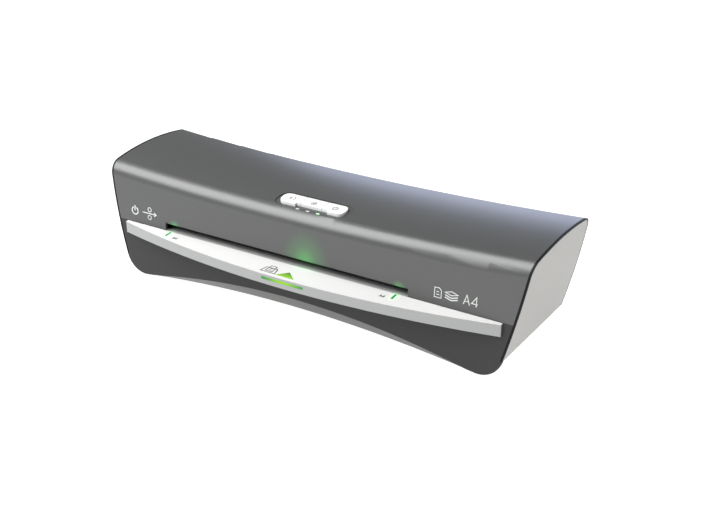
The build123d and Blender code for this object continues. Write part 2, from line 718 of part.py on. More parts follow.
def upper_bushes(y):
    """Two square bushes that slide up and down in the side frames."""
    parts = []
    for inner, outward in ((LEFT_FRAME_X, -1), (RIGHT_FRAME_X, 1)):
        x0, x1 = sorted((inner - outward * 2, inner + outward * (PLATE + 1)))
        half = BUSH_HALF - RUNNING_GAP
        body = block(x0, x1, y - half, y + half, UPPER_Z - BUSH_RISE, UPPER_Z + BUSH_RISE)
        f0, f1 = sorted((inner - outward * RUNNING_GAP, inner - outward * 2))
        body = body + block(f0, f1, y - 9, y + 9, UPPER_Z - BUSH_RISE, UPPER_Z + BUSH_RISE)
        bore = SHAFT_DIAMETER + 2 * RUNNING_GAP
        parts.append(body - along_x(bore, inner - 20, inner + 20, y, UPPER_Z))
    return Compound(parts)


SPRING_TOP_Z = UPPER_Z + BUSH_RISE + 12.0


def pressure_springs(y):
    """Two coil springs that press the upper bushes down."""
    parts = []
    height = SPRING_TOP_Z - UPPER_Z - BUSH_RISE
    for inner, outward in ((LEFT_FRAME_X, -1), (RIGHT_FRAME_X, 1)):
        x = inner + outward * PLATE / 2
        path = Helix(pitch=height / 5, height=height - 1.0, radius=3.0)
        start = Plane(path @ 0, z_dir=path % 0)
        coil = sweep(start * Circle(0.5), path)
        parts.append(Pos(x, y, UPPER_Z + BUSH_RISE + 0.5) * coil)
    return Compound(parts)


FRAME_Y0 = FRONT_ROLLER_Y - 24.5
FRAME_Y1 = REAR_ROLLER_Y + 22.0
FRAME_TOP_Z = SPRING_TOP_Z + 4.0
RODS = [
    (FRONT_ROLLER_Y - 17, UPPER_Z + 12),
    (REAR_ROLLER_Y + 17, UPPER_Z + 12),
    (IDLER_Y, FRAME_FOOT_Z + 9),
]
MOTOR_POSTS = [(FRAME_Y0 + 3.5, LOWER_Z + 1.5), (2.0, FRAME_FOOT_Z + 4), (IDLER_Y, PATH_Z + 1.0)]


def side_frame(inner, outward):
    """One steel side plate with its spring seats and feet."""
    x0, x1 = sorted((inner, inner + outward * PLATE))
    low = FRAME_FOOT_Z
    outline = [
        (FRAME_Y0, low + 24),
        (FRAME_Y0 + 9, low),
        (FRAME_Y1, low),
        (FRAME_Y1, FRAME_TOP_Z - 8),
        (FRAME_Y1 - 8, FRAME_TOP_Z),
        (FRAME_Y0 + 10, FRAME_TOP_Z),
        (FRAME_Y0, FRAME_TOP_Z - 10),
    ]
    plate = side_plate(outline, x0, x1)
    for y in (FRONT_ROLLER_Y, REAR_ROLLER_Y):
        plate = plate - along_x(12, inner - 5, inner + 5, y, LOWER_Z)
        window = block(inner - 5, inner + 5, y - BUSH_HALF, y + BUSH_HALF, UPPER_Z - BUSH_RISE, SPRING_TOP_Z)
        plate = plate - window
        seat = block(x0 - 2.5, x1 + 2.5, y - 5, y + 5, SPRING_TOP_Z, SPRING_TOP_Z + 1.5)
        plate = plate + seat
    for x, y in FRAME_FEET:
        if abs(x - inner) < 20:
            f0, f1 = sorted((inner, inner - outward * 12))
            foot = block(f0, f1, y - 6, y + 6, low, low + PLATE)
            plate = plate + foot
            plate = plate - upright(3, x, y, low - 1, low + PLATE + 1)
    return plate


def left_side_frame():
    """Left side plate."""
    return side_frame(LEFT_FRAME_X, -1)


def right_side_frame():
    """Right side plate, which also carries the gear train."""
    plate = side_frame(RIGHT_FRAME_X, 1)
    return plate - along_x(PIN_DIAMETER, RIGHT_FRAME_X - 5, RIGHT_FRAME_X + 5, IDLER_Y, IDLER_Z)


def frame_screws():
    """Screws through the frame feet into the base."""
    parts = []
    for x, y in FRAME_FEET:
        top = FRAME_FOOT_Z + PLATE
        parts.append(upright(5.5, x, y, top, top + 2) + upright(3, x, y, FRAME_FOOT_Z - 4, top))
    return Compound(parts)


def frame_tie_rods():
    """Three bars that hold the side plates apart."""
    return Compound([along_x(6, LEFT_FRAME_X, RIGHT_FRAME_X, y, z) for y, z in RODS])


def idler_pin():
    """Pin that carries the idler gear."""
    pin = along_x(PIN_DIAMETER, RIGHT_FRAME_X, GEAR_X1 + 0.3, IDLER_Y, IDLER_Z)
    return pin + along_x(9, GEAR_X1 + 0.3, GEAR_X1 + 1.6, IDLER_Y, IDLER_Z)


def motor_plate():
    """Plate outside the gears that carries the motor, on three posts."""
    outline = [(FRAME_Y0, 18), (FRAME_Y0 + 6, 12), (17, 12), (17, 58), (FRAME_Y0, 58)]
    plate = side_plate(outline, MOTOR_PLATE_X, MOTOR_PLATE_X + 1.5)
    for y, z in MOTOR_POSTS:
        plate = plate + along_x(6, RIGHT_FRAME_X + PLATE, MOTOR_PLATE_X, y, z)
    return plate - along_x(8, MOTOR_PLATE_X - 1, MOTOR_PLATE_X + 3, PINION_Y, PINION_Z)


MOTOR_Y = PINION_Y + 11.0
MOTOR_Z = PINION_Z + 8.5


def drive_motor():
    """Flat synchronous geared motor with an offset output."""
    x0 = MOTOR_PLATE_X + 1.5
    gearbox = along_x(44, x0, x0 + 9, MOTOR_Y, MOTOR_Z)
    can = along_x(42, x0 + 9, x0 + 22, MOTOR_Y, MOTOR_Z)
    can = chamfer(can.edges().sort_by(Axis.X)[-1], 1.2)
    boss = along_x(7.6, MOTOR_PLATE_X, x0, PINION_Y, PINION_Z)
    return gearbox + can + boss - along_x(SHAFT_DIAMETER - 3 + 2 * RUNNING_GAP, 0, x0 + 6, PINION_Y, PINION_Z)


def motor_pinion():
    """Pinion on the motor's output shaft."""
    wheel = gear(SMALL_TEETH, PHASE_PINION, PINION_Y, PINION_Z, SHAFT_DIAMETER - 3)
    return wheel + along_x(SHAFT_DIAMETER - 3, GEAR_X0, MOTOR_PLATE_X + 7, PINION_Y, PINION_Z)


# --- heater ----------------------------------------------------------------------------------
HEATER_Y0 = FRONT_ROLLER_Y + 14.0
HEATER_Y1 = REAR_ROLLER_Y - 14.0


def heater_block(side):
    """One aluminium heater plate; side is +1 above the path and -1 below it."""
    near = PATH_Z + side * 0.8
    far = PATH_Z + side * 7.5
    lead = PATH_Z + side * 2.0
    outline = [
        (HEATER_Y0, lead),
        (HEATER_Y0 + 2, near),
        (HEATER_Y1, near),
        (HEATER_Y1, far),
        (HEATER_Y0, far),
    ]
    return side_plate(outline, LEFT_FRAME_X, RIGHT_FRAME_X)


def heater_elements():
    """Flat heating elements on the outer faces of both plates."""
    parts = []
    for side in (-1, 1):
        z0, z1 = sorted((PATH_Z + side * 7.5, PATH_Z + side * 10.5))
        parts.append(block(SLOT_X0 + 12, SLOT_X1 - 12, HEATER_Y0 + 2, HEATER_Y1 - 2, z0, z1))
    return Compound(parts)


def thermal_cutouts():
    """Two round thermal cut-outs on the upper element."""
    parts = []
    z = PATH_Z + 10.5
    y = (HEATER_Y0 + HEATER_Y1) / 2
    for x in (SLOT_CENTRE_X - 45, SLOT_CENTRE_X + 45):
        parts.append(upright(9, x, y, z, z + 3) + upright(6, x, y, z + 3, z + 6))
    return Compound(parts)


def entry_guide_upper():
    """Funnel plate above the path, between the slot and the front rollers."""
    edge = front_face_y(PART_Z + SLOT_HEIGHT) + WALL
    outline = [
        (edge + 5, PART_Z + SLOT_HEIGHT + 0.6),
        (FRONT_ROLLER_Y - 10, PATH_Z + 1.4),
        (FRONT_ROLLER_Y - 10, PATH_Z + 3.0),
        (edge + 8, PART_Z + SLOT_HEIGHT + 5),
        (edge + 5, PART_Z + SLOT_HEIGHT + 5),
    ]
    bar = side_plate(outline, LEFT_FRAME_X, RIGHT_FRAME_X)
    return bar


def exit_guide():
    """Plate that carries the pouch from the rear rollers to the exit."""
    outline = [
        (REAR_ROLLER_Y + 10, PATH_Z - 3.2),
        (REAR_ROLLER_Y + 10, PATH_Z - 1.6),
        (REAR_Y - WALL - 2.2, PATH_Z - 2.0),
        (REAR_Y - WALL - 2.2, PATH_Z - 4.0),
        (REAR_ROLLER_Y + 14, PATH_Z - 5.0),
    ]
    return side_plate(outline, LEFT_FRAME_X, RIGHT_FRAME_X)


# --- electrical ------------------------------------------------------------------------------
def power_board():
    """Supply board in the right-hand bay."""
    x0, x1, y0, y1, z = POWER_BOARD
    return block(x0, x1, y0, y1, z, z + 1.6)


def power_board_components():
    """Transformer, relay, capacitor and connector on the supply board."""
    x0, x1, y0, y1, z = POWER_BOARD
    top = z + 1.6
    parts = [
        block(x0 + 3, x0 + 19, y0 + 3, y0 + 17, top, top + 15),
        block(x0 + 23, x0 + 31, y0 + 4, y0 + 20, top, top + 13),
        upright(9, x0 + 8, y1 - 7, top, top + 14),
        block(x1 - 20, x1 - 6, y1 - 7, y1 - 2, top, top + 7),
    ]
    return Compound(parts)


def inlet_body(extra):
    """Outside of the mains inlet."""
    return block(
        INLET_X - 11 - extra,
        INLET_X + 11 + extra,
        REAR_Y - 17,
        REAR_Y + 3,
        INLET_Z - 7 - extra,
        INLET_Z + 7 + extra,
    )


def power_inlet():
    """Two-pin mains inlet, flush with the rear wall."""
    body = inlet_body(0.0) & block(-BIG, BIG, REAR_Y - 17, REAR_Y - 0.1, 0, BIG)
    mouth = Plane.XZ * SlotOverall(16.5, 8.4)
    body = body - Pos(INLET_X, REAR_Y + 1, INLET_Z) * extrude(mouth, 14)
    for dx in (-4.2, 4.2):
        body = body + Pos(INLET_X + dx, REAR_Y - 9.5, INLET_Z) * Rot(90, 0, 0) * Cylinder(1.2, 8)
    return body


def switch_body(extra):
    """Outside of the mains switch."""
    return block(
        SWITCH_X - 7 - extra,
        SWITCH_X + 7 + extra,
        REAR_Y - 14,
        REAR_Y + 3,
        SWITCH_Z - 10.5 - extra,
        SWITCH_Z + 10.5 + extra,
    )


ROCKER_Y = REAR_Y - 5.5


def rocker_switch_housing():
    """Frame of the mains switch, with pivots for its rocker."""
    body = switch_body(0.0) & block(-BIG, BIG, REAR_Y - 14, REAR_Y - 0.1, 0, BIG)
    return body - block(SWITCH_X - 5, SWITCH_X + 5, REAR_Y - 11.5, REAR_Y + 5, SWITCH_Z - 9, SWITCH_Z + 9)


def rocker():
    """Rocker, a shallow V seen from the side."""
    z = SWITCH_Z
    outline = [
        (ROCKER_Y - 2.5, z - 6),
        (ROCKER_Y + 5.0, z - 7.6),
        (ROCKER_Y + 4.1, z),
        (ROCKER_Y + 5.0, z + 7.6),
        (ROCKER_Y - 2.5, z + 6),
    ]
    return side_plate(outline, SWITCH_X - 4.7, SWITCH_X + 4.7)


# --- the whole machine -----------------------------------------------------------------------
PIECES = {
    "upper_casing": upper_casing,
    "front_fascia": front_fascia,
    "base_casing": base_casing,
    "left_end_panel": lambda: end_panel(-1),
    "right_end_panel": lambda: end_panel(1),
    "left_end_gasket": lambda: end_gasket(-1),
    "right_end_gasket": lambda: end_gasket(1),
    "entry_tray": entry_tray,
    "tray_lip_trim": tray_lip_trim,
    "feed_light_bar": feed_light_bar,
    "feed_arrow_window": feed_arrow_window,
    "guide_light_left": lambda: guide_light(GUIDE_LIGHT_X[0]),
    "guide_light_right": lambda: guide_light(GUIDE_LIGHT_X[1]),
    "exit_slot_frame": exit_slot_frame,
    "casing_screws": casing_screws,
    "rubber_feet": rubber_feet,
    "reverse_button": lambda: key(0),
    "heat_button": lambda: key(1),
    "power_button": lambda: key(2),
    "indicator_lens": indicator_lens,
    "button_board": button_board,
    "board_screws": board_screws,
    "tact_switches": tact_switches,
    "left_side_frame": left_side_frame,
    "right_side_frame": right_side_frame,
    "frame_screws": frame_screws,
    "frame_tie_rods": frame_tie_rods,
    "front_lower_shaft": lambda: shaft(FRONT_ROLLER_Y, LOWER_Z),
    "front_upper_shaft": lambda: shaft(FRONT_ROLLER_Y, UPPER_Z),
    "rear_lower_shaft": lambda: shaft(REAR_ROLLER_Y, LOWER_Z),
    "rear_upper_shaft": lambda: shaft(REAR_ROLLER_Y, UPPER_Z),
    "front_lower_sleeve": lambda: sleeve(FRONT_ROLLER_Y, LOWER_Z),
    "front_upper_sleeve": lambda: sleeve(FRONT_ROLLER_Y, UPPER_Z),
    "rear_lower_sleeve": lambda: sleeve(REAR_ROLLER_Y, LOWER_Z),
    "rear_upper_sleeve": lambda: sleeve(REAR_ROLLER_Y, UPPER_Z),
    "front_lower_gear": lambda: gear(
        ROLLER_TEETH, PHASE_FRONT_LOWER, FRONT_ROLLER_Y, LOWER_Z, SHAFT_DIAMETER
    ),
    "front_upper_gear": lambda: gear(
        ROLLER_TEETH, PHASE_FRONT_UPPER, FRONT_ROLLER_Y, UPPER_Z, SHAFT_DIAMETER
    ),
    "rear_lower_gear": lambda: gear(
        ROLLER_TEETH, PHASE_REAR_LOWER, REAR_ROLLER_Y, LOWER_Z, SHAFT_DIAMETER
    ),
    "rear_upper_gear": lambda: gear(
        ROLLER_TEETH, PHASE_REAR_UPPER, REAR_ROLLER_Y, UPPER_Z, SHAFT_DIAMETER
    ),
    "idler_gear": lambda: gear(
        SMALL_TEETH, PHASE_IDLER, IDLER_Y, IDLER_Z, PIN_DIAMETER + 2 * RUNNING_GAP
    ),
    "idler_pin": idler_pin,
    "lower_roller_bushes": lower_roller_bushes,
    "front_upper_bushes": lambda: upper_bushes(FRONT_ROLLER_Y),
    "rear_upper_bushes": lambda: upper_bushes(REAR_ROLLER_Y),
    "front_pressure_springs": lambda: pressure_springs(FRONT_ROLLER_Y),
    "rear_pressure_springs": lambda: pressure_springs(REAR_ROLLER_Y),
    "motor_plate": motor_plate,
    "drive_motor": drive_motor,
    "motor_pinion": motor_pinion,
    "upper_heater_block": lambda: heater_block(1),
    "lower_heater_block": lambda: heater_block(-1),
    "heater_elements": heater_elements,
    "thermal_cutouts": thermal_cutouts,
    "entry_guide_upper": entry_guide_upper,
    "exit_guide": exit_guide,
    "power_board": power_board,
    "power_board_components": power_board_components,
    "power_inlet": power_inlet,
    "rocker_switch_housing": rocker_switch_housing,
    "rocker": rocker,
}

os.makedirs("parts", exist_ok=True)
for name, make in PIECES.items():
    piece = make()
    export_step(piece, f"parts/{name}.step")
    box = piece.bounding_box()
    print(f"{name:24s} {len(piece.solids())} solids {piece.volume:10.0f} mm3 z {box.min.Z:.1f}..{box.max.Z:.1f}")
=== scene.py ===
# %% [markdown]
# # A pouch laminator, dressed for its picture
# The machine's real shapes come from the CAD frame: housing, tray, keys, rollers and gears.
# Blender's work here is the finish of every one of those pieces, the thin printed marks, the
# green lamps and the light. The frame is loaded first, because every position is read from it.

# %% Load the frame
import math

import bpy
import numpy as np
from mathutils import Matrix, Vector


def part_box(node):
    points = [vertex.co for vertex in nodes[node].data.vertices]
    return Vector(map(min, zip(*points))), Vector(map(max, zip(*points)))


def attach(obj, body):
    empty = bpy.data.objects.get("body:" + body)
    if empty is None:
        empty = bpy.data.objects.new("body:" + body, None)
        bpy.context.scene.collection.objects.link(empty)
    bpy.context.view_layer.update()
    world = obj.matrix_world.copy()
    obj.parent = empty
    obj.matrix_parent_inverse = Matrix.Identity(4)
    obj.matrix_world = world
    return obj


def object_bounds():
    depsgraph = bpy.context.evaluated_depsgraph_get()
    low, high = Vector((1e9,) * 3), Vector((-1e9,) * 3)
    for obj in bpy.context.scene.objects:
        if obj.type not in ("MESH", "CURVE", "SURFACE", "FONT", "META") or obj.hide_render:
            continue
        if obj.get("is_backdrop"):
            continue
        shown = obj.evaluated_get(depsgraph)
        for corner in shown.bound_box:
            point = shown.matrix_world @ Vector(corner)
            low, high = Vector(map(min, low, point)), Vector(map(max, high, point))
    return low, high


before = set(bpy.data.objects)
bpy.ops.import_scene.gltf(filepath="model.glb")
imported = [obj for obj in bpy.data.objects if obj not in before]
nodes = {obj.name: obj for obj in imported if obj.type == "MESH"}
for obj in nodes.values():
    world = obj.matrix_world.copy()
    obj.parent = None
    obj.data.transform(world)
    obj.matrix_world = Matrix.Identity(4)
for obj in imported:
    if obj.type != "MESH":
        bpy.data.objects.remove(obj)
cad_low, cad_high = (list(corner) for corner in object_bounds())

# %% [markdown]
# ## Camera
# A view from the front, to the right and above, as a catalogue shows a desk machine. The camera
# is placed by a point and two angles, how far it looks down and how far it turns left. It could
# also track a target, but plain numbers keep the perspective easy to repeat.

# %% Camera
LENS_LENGTH = 59.74
CAMERA_PLACE = (0.4907, -0.7399, 0.4510)
LOOK_DOWN = 25.18
TURN_LEFT = 32.19
camera_data = bpy.data.cameras.new("view_camera")
camera_data.sensor_width = 36.0
camera_data.sensor_fit = "HORIZONTAL"
camera_data.lens = LENS_LENGTH
camera_data.clip_start = 0.05
camera_data.clip_end = 30.0
camera = bpy.data.objects.new("view_camera", camera_data)
bpy.context.scene.collection.objects.link(camera)
camera.location = CAMERA_PLACE
camera.rotation_euler = (math.radians(90 - LOOK_DOWN), 0.0, math.radians(TURN_LEFT))
bpy.context.scene.camera = camera
print("camera lens", camera_data.lens, "mm")

# %% [markdown]
# ## Small helpers for materials
# A Blender material is a graph of nodes. These helpers add a node, set its plain values and
# join sockets by name, so that each finish below reads as a short recipe.


# %% Node helpers
def add(tree, kind, **values):
    """A node of this kind. Keys that are sockets set the socket, the others set properties."""
    node = tree.nodes.new(kind)
    for key, value in values.items():
        name = key.replace("_", " ")
        if name in node.inputs:
            node.inputs[name].default_value = value
        else:
            setattr(node, key, value)
    return node


def join(tree, source, source_socket, target, target_socket):
    """A link from one node's output to another node's input."""
    tree.links.new(source.outputs[source_socket], target.inputs[target_socket])


def ramp(tree, low, high, low_value=0.0, high_value=1.0):
    """A Map Range node that turns low..high into low_value..high_value, clamped."""
    node = add(tree, "ShaderNodeMapRange")
    node.inputs["From Min"].default_value = low
    node.inputs["From Max"].default_value = high
    node.inputs["To Min"].default_value = low_value
    node.inputs["To Max"].default_value = high_value
    return node


def new_group(name, inputs, outputs):
    """An empty shader node group with typed, named sockets."""
    tree = bpy.data.node_groups.new(name, "ShaderNodeTree")
    for label, kind, value in inputs:
        socket = tree.interface.new_socket(label, in_out="INPUT", socket_type="NodeSocket" + kind)
        socket.default_value = value
    for label, kind in outputs:
        tree.interface.new_socket(label, in_out="OUTPUT", socket_type="NodeSocket" + kind)
    return tree, add(tree, "NodeGroupInput"), add(tree, "NodeGroupOutput")


print("helpers ready")

# %% [markdown]
# ## Shared effects
# Moulded plastic has a fine spark-eroded grain and tiny changes of gloss from handling. Painted
# and bare metal have much the same, at other scales. One group does both: it mixes two noises in
# Object coordinates, so the pattern stays put on the piece, and puts out a tone factor, a
# roughness and a height for a Bump node.


# %% Surface group
def make_surface_group():
    """Fine grain plus slow smudges: tone = 1 + small noise, height = grain noise."""
    tree, into, out = new_group(
        "surface_grain",
        [
            ("Color", "Color", (0.5, 0.5, 0.5, 1.0)),
            ("Roughness", "Float", 0.4),
            ("Grain Scale", "Float", 1500.0),
            ("Tone Change", "Float", 0.05),
            ("Gloss Change", "Float", 0.05),
        ],
        [("Color", "Color"), ("Roughness", "Float"), ("Height", "Float")],
    )
    place = add(tree, "ShaderNodeTexCoord")
    grain = add(tree, "ShaderNodeTexNoise", Detail=2.0, Roughness=0.6)
    smudge = add(tree, "ShaderNodeTexNoise", Scale=28.0, Detail=3.0, Roughness=0.55)
    join(tree, place, "Object", grain, "Vector")
    join(tree, place, "Object", smudge, "Vector")
    join(tree, into, "Grain Scale", grain, "Scale")
    centred = add(tree, "ShaderNodeMath", operation="SUBTRACT")
    centred.inputs[1].default_value = 0.5
    join(tree, smudge, "Fac", centred, 0)
    tone = add(tree, "ShaderNodeMath", operation="MULTIPLY_ADD")
    tone.inputs[2].default_value = 1.0
    join(tree, centred, 0, tone, 0)
    join(tree, into, "Tone Change", tone, 1)
    tinted = add(tree, "ShaderNodeVectorMath", operation="SCALE")
    join(tree, into, "Color", tinted, 0)
    join(tree, tone, 0, tinted, "Scale")
    gloss = add(tree, "ShaderNodeMath", operation="MULTIPLY_ADD")
    join(tree, centred, 0, gloss, 0)
    join(tree, into, "Gloss Change", gloss, 1)
    join(tree, into, "Roughness", gloss, 2)
    join(tree, tinted, 0, out, "Color")
    join(tree, gloss, 0, out, "Roughness")
    join(tree, grain, "Fac", out, "Height")
    return tree


SURFACE = make_surface_group()
print("group", SURFACE.name)


# %% [markdown]
# A lamp behind plastic lights the plastic round it in a soft patch. The glow group gives the
# distance from a point on the piece as a fading mask, and each axis has its own reach, so a patch
# can be wider than it is high.


# %% Glow group
def make_glow_group():
    """mask = smooth fall of |(position - Centre) / Reach| from 1 at the centre to 0 at 1."""
    tree, into, out = new_group(
        "lamp_glow",
        [("Centre", "Vector", (0.0, 0.0, 0.0)), ("Reach", "Vector", (0.02, 0.02, 0.02))],
        [("Mask", "Float")],
    )
    place = add(tree, "ShaderNodeTexCoord")
    offset = add(tree, "ShaderNodeVectorMath", operation="SUBTRACT")
    join(tree, place, "Object", offset, 0)
    join(tree, into, "Centre", offset, 1)
    share = add(tree, "ShaderNodeVectorMath", operation="DIVIDE")
    join(tree, offset, 0, share, 0)
    join(tree, into, "Reach", share, 1)
    length = add(tree, "ShaderNodeVectorMath", operation="LENGTH")
    join(tree, share, 0, length, 0)
    fade = ramp(tree, 0.0, 1.0, 1.0, 0.0)
    fade.interpolation_type = "SMOOTHSTEP"
    join(tree, length, "Value", fade, "Value")
    join(tree, fade, "Result", out, "Mask")
    return tree


GLOW = make_glow_group()
print("group", GLOW.name)


# %% [markdown]
# ## Finishes
# Every finish starts from the same short recipe: a Principled shader whose colour, roughness and
# bump come from the surface group. What is the same all over the piece, such as coat or
# metalness, is set on the shader's own sockets.


# %% Finish recipe
def finish(name, color, roughness=0.45, grain=1500.0, bump=0.04, tone=0.06, gloss=0.05, **plain):
    """A procedural material; plain values go straight onto the Principled sockets."""
    material = bpy.data.materials.new(name)
    material.use_nodes = True
    tree = material.node_tree
    tree.nodes.clear()
    shader = add(tree, "ShaderNodeBsdfPrincipled")
    output = add(tree, "ShaderNodeOutputMaterial")
    join(tree, shader, "BSDF", output, "Surface")
    surface = add(tree, "ShaderNodeGroup", node_tree=SURFACE)
    surface.name = "surface"
    shader.name = "shader"
    surface.inputs["Color"].default_value = (*color, 1.0)
    surface.inputs["Roughness"].default_value = roughness
    surface.inputs["Grain Scale"].default_value = grain
    surface.inputs["Tone Change"].default_value = tone
    surface.inputs["Gloss Change"].default_value = gloss
    join(tree, surface, "Color", shader, "Base Color")
    join(tree, surface, "Roughness", shader, "Roughness")
    relief = add(tree, "ShaderNodeBump", Strength=bump, Distance=0.0004)
    join(tree, surface, "Height", relief, "Height")
    join(tree, relief, "Normal", shader, "Normal")
    for key, value in plain.items():
        shader.inputs[key.replace("_", " ")].default_value = value
    return material


def dress(material, *names):
    """Puts one material on the named CAD nodes."""
    for name in names:
        slots = nodes[name].data.materials
        slots.clear()
        slots.append(material)


print("finish recipe ready")

# %% [markdown]
# ### Housing
# The cover is sprayed with a grey metallic lacquer: partly metal, with a thin, satin clear coat
# that carries the soft highlight along its rounded front edge. The fascia below is darker and
# duller, the base a plain mid grey and the end panels a light warm grey. The gaskets are almost
# black, so that they draw a line round each panel.

# %% Housing finishes
cover_paint = finish(
    "cover_metallic_grey", (0.095, 0.098, 0.096), 0.37, 2600.0, 0.02, 0.04, 0.04,
    Metallic=0.4, Coat_Weight=0.14, Coat_Roughness=0.3,
)
fascia_paint = finish(
    "fascia_dark_grey", (0.034, 0.034, 0.034), 0.45, 2600.0, 0.02, 0.04, 0.04,
    Metallic=0.2, Specular_IOR_Level=0.35,
)
base_plastic = finish("base_mid_grey", (0.19, 0.195, 0.19), 0.5, 1400.0, 0.08, 0.05, 0.05)
end_plastic = finish("end_light_grey", (0.44, 0.435, 0.42), 0.42, 1400.0, 0.06, 0.05, 0.05)
gasket_rubber = finish(
    "gasket_black", (0.005, 0.005, 0.006), 0.6, 900.0, 0.05, 0.1, 0.08, Specular_IOR_Level=0.2
)
dress(cover_paint, "upper_casing")
dress(fascia_paint, "front_fascia")
dress(base_plastic, "base_casing")
dress(end_plastic, "left_end_panel", "right_end_panel")
dress(gasket_rubber, "left_end_gasket", "right_end_gasket")
print("housing dressed")

# %% [markdown]
# ### Green glow on the cover
# Lamps at the slot tint the cover green in three places: over the feed arrow, and more faintly
# over each width guide. Real lamps there would need many samples, so the light is painted on as
# soft emission patches. The middle place has a wide patch with a small bright one inside it.

# %% Green glow on the cover
GREEN = (0.06, 0.95, 0.10)
light_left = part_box("guide_light_left")
light_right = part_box("guide_light_right")


def glow_patches(material, patches, color, strength):
    """Adds soft lit patches to a material: emission = colour x the sum of the patches' masks."""
    tree = material.node_tree
    total = None
    for centre, reach, weight in patches:
        patch = add(tree, "ShaderNodeGroup", node_tree=GLOW)
        patch.inputs["Centre"].default_value = centre
        patch.inputs["Reach"].default_value = reach
        scaled = add(tree, "ShaderNodeMath", operation="MULTIPLY")
        scaled.inputs[1].default_value = weight
        join(tree, patch, "Mask", scaled, 0)
        if total is not None:
            summed = add(tree, "ShaderNodeMath", operation="ADD")
            join(tree, total, 0, summed, 0)
            join(tree, scaled, 0, summed, 1)
            scaled = summed
        total = scaled
    lit = add(tree, "ShaderNodeVectorMath", operation="SCALE")
    lit.inputs[0].default_value = color
    join(tree, total, 0, lit, "Scale")
    join(tree, lit, 0, tree.nodes["shader"], "Emission Color")
    tree.nodes["shader"].inputs["Emission Strength"].default_value = strength


FEED_X = 0.006
GLOW_LIFT = 0.0055
face_y = light_left[1][1]
left_x = (light_left[0][0] + light_left[1][0]) / 2
right_x = (light_right[0][0] + light_right[1][0]) / 2
lip_z = light_left[1][2] + GLOW_LIFT
glow_patches(
    cover_paint,
    [
        ((FEED_X, face_y, lip_z), (0.026, 0.016, 0.031), 0.30),
        ((FEED_X, face_y, lip_z), (0.013, 0.012, 0.014), 0.26),
        ((left_x + 0.003, face_y, lip_z), (0.007, 0.008, 0.007), 0.5),
        ((right_x + 0.001, face_y, lip_z), (0.007, 0.008, 0.007), 0.5),
    ],
    GREEN,
    0.55,
)
print("glow centres at x", round(left_x, 4), FEED_X, round(right_x, 4))

# %% [markdown]
# ### Tray, trim and lamps
# The tray is white satin plastic with a silver strip let into its lip. The silver is a paint with
# metal flakes, so it is only partly metal and has a thin clear coat.

# %% Tray finishes
tray_plastic = finish("tray_white", (0.62, 0.62, 0.612), 0.36, 1600.0, 0.03, 0.02, 0.04)
lip_paint = finish(
    "lip_silver", (0.34, 0.345, 0.345), 0.36, 2600.0, 0.02, 0.03, 0.04, Metallic=0.45, Coat_Weight=0.2,
)
dress(tray_plastic, "entry_tray")
dress(lip_paint, "tray_lip_trim")


UNLIT_SHARE = 0.12


def lamp(name, axis, middle, start, end, dark, bright, strength):
    """Lit plastic: emission goes from dark to bright as the distance from middle, along one
    axis, goes from start to end."""
    material = finish(name, tuple(UNLIT_SHARE * c for c in bright), 0.3, 2000.0, 0.02, 0.05, 0.03)
    tree = material.node_tree
    place = add(tree, "ShaderNodeTexCoord")
    split = add(tree, "ShaderNodeSeparateXYZ")
    join(tree, place, "Object", split, "Vector")
    offset = add(tree, "ShaderNodeMath", operation="SUBTRACT")
    offset.inputs[1].default_value = middle
    join(tree, split, axis, offset, 0)
    distance = add(tree, "ShaderNodeMath", operation="ABSOLUTE")
    join(tree, offset, 0, distance, 0)
    share = ramp(tree, start, end)
    join(tree, distance, 0, share, "Value")
    blend = add(tree, "ShaderNodeMix", data_type="RGBA")
    blend.inputs[6].default_value = (*dark, 1.0)
    blend.inputs[7].default_value = (*bright, 1.0)
    tree.links.new(share.outputs["Result"], blend.inputs[0])
    tree.links.new(blend.outputs[2], tree.nodes["shader"].inputs["Emission Color"])
    tree.nodes["shader"].inputs["Emission Strength"].default_value = strength
    return material


print("tray dressed")

# %% [markdown]
# ### Lamps
# The lamps are green plastic lit from behind. A lamp isn't evenly bright, so its emission runs
# from one green to another with the distance from a line across it. The tray round the lamps
# picks up a little of their light, again as soft patches.

# %% Lamps
bar_low, bar_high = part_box("feed_light_bar")
arrow_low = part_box("feed_arrow_window")[0]
bar_lamp = lamp(
    "feed_bar_lamp", "X", (bar_low[0] + bar_high[0]) / 2 + 0.001, 0.018, 0.004,
    (0.0, 0.24, 0.06), (0.26, 0.62, 0.0), 0.9,
)
arrow_lamp = lamp(
    "feed_arrow_lamp", "Y", arrow_low[1], 0.0075, 0.001,
    (0.01, 0.16, 0.02), (0.28, 0.62, 0.01), 0.9,
)
guide_lamp = lamp(
    "guide_tick_lamp", "Y", light_left[1][1], 0.008, 0.0,
    (0.0, 0.30, 0.06), (0.0, 0.50, 0.10), 0.7,
)
dress(bar_lamp, "feed_light_bar")
dress(arrow_lamp, "feed_arrow_window")
dress(guide_lamp, "guide_light_left", "guide_light_right")
glow_patches(
    tray_plastic,
    [
        ((left_x, face_y - 0.003, lip_z - 0.005), (0.006, 0.010, 0.006), 0.6),
        ((right_x, face_y - 0.003, lip_z - 0.005), (0.006, 0.010, 0.006), 0.6),
        ((FEED_X, face_y, lip_z - 0.005), (0.016, 0.006, 0.006), 0.35),
    ],
    GREEN,
    0.5,
)
print("lamps dressed")

# %% [markdown]
# ### Keys, lenses and inside parts
# The keys are white satin plastic. The unlit lenses are a milky clear plastic. Inside the housing
# each part takes the finish of its real kind: ground steel shafts, red-brown silicone sleeves,
# cream nylon gears, sintered bronze bushes, bare aluminium heater plates.

